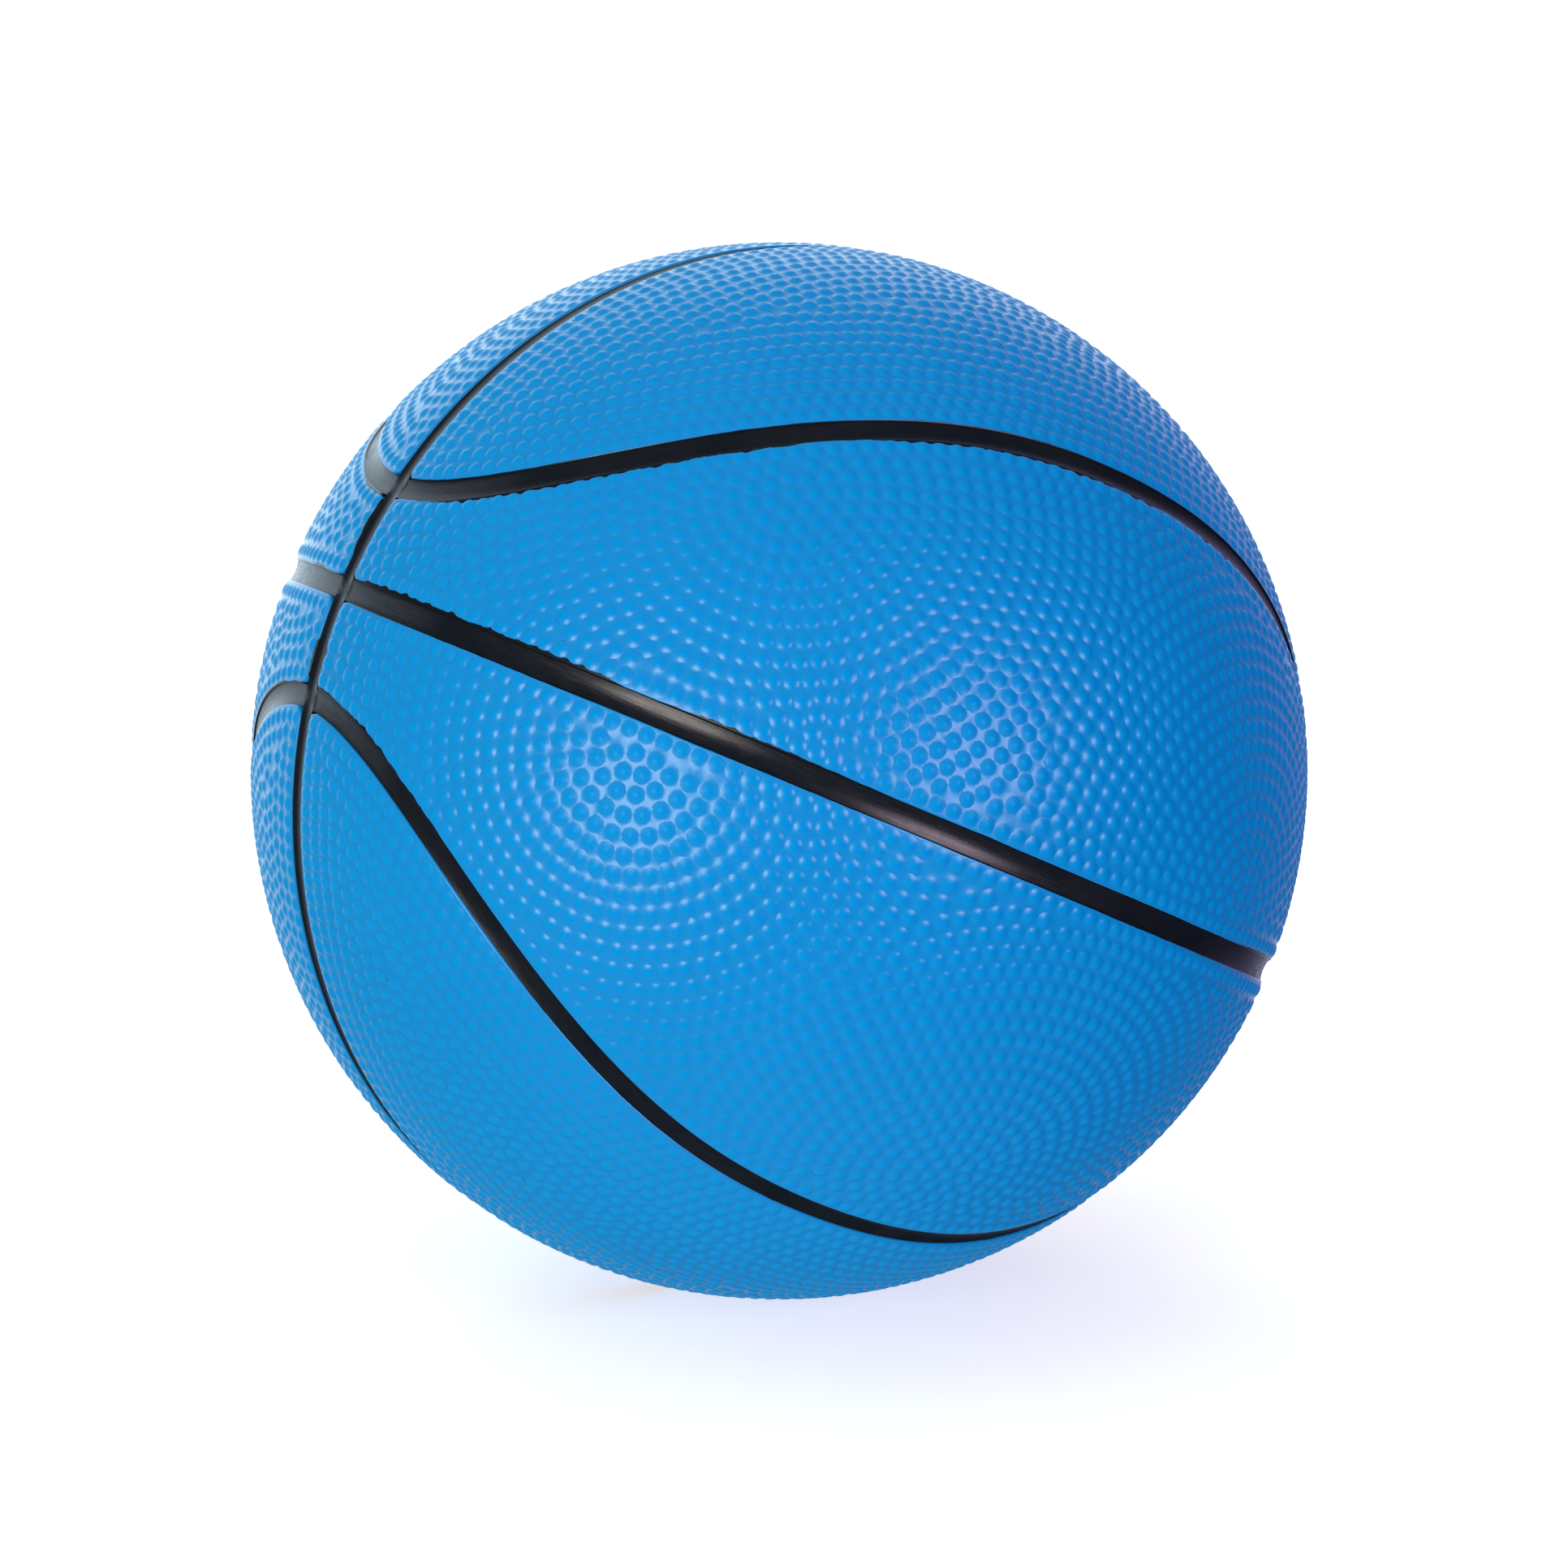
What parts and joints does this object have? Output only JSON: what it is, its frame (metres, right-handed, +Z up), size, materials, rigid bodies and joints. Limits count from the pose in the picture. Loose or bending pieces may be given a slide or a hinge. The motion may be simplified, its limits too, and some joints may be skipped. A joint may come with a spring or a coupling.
{
  "type": "mini basketball",
  "caption": "Inflatable blue rubber play ball with pebbled cover panels, black seam channels in a basketball layout, and a needle valve with a removable core.",
  "frame": {"origin": "the point where the ball touches the floor, straight below its centre", "axes": "+Z up through the ball's centre, +Y away from the pictured side, +X to the right as pictured"},
  "size_m": [0.1798, 0.1798, 0.1798],
  "materials": {
    "cover": "gloss",
    "seam": "gloss",
    "carcass": "matte",
    "winding": "matte",
    "bladder": "satin",
    "valve": "satin",
    "valve_core": "satin"
  },
  "bodies": {
    "ball": {"middle_panel_upper_front": "cover", "middle_panel_upper_back": "cover", "middle_panel_lower_front": "cover", "middle_panel_lower_back": "cover", "end_panel_upper_front": "cover", "end_panel_upper_back": "cover", "end_panel_lower_front": "cover", "end_panel_lower_back": "cover", "cross_seam": "seam", "middle_seam_front": "seam", "middle_seam_back": "seam", "side_seam_upper_front": "seam", "side_seam_upper_back": "seam", "side_seam_lower_front": "seam", "side_seam_lower_back": "seam", "carcass": "carcass", "thread_winding": "winding", "bladder": "bladder", "valve_housing": "valve"},
    "valve_core": {"valve_core": "valve_core"}
  },
  "joints": [
    {"name": "core_slide", "type": "slide", "parent": "ball", "child": "valve_core", "axis": [-0.3252, 0.8626, 0.3874], "range_m": [0, 0.022]}
  ]
}
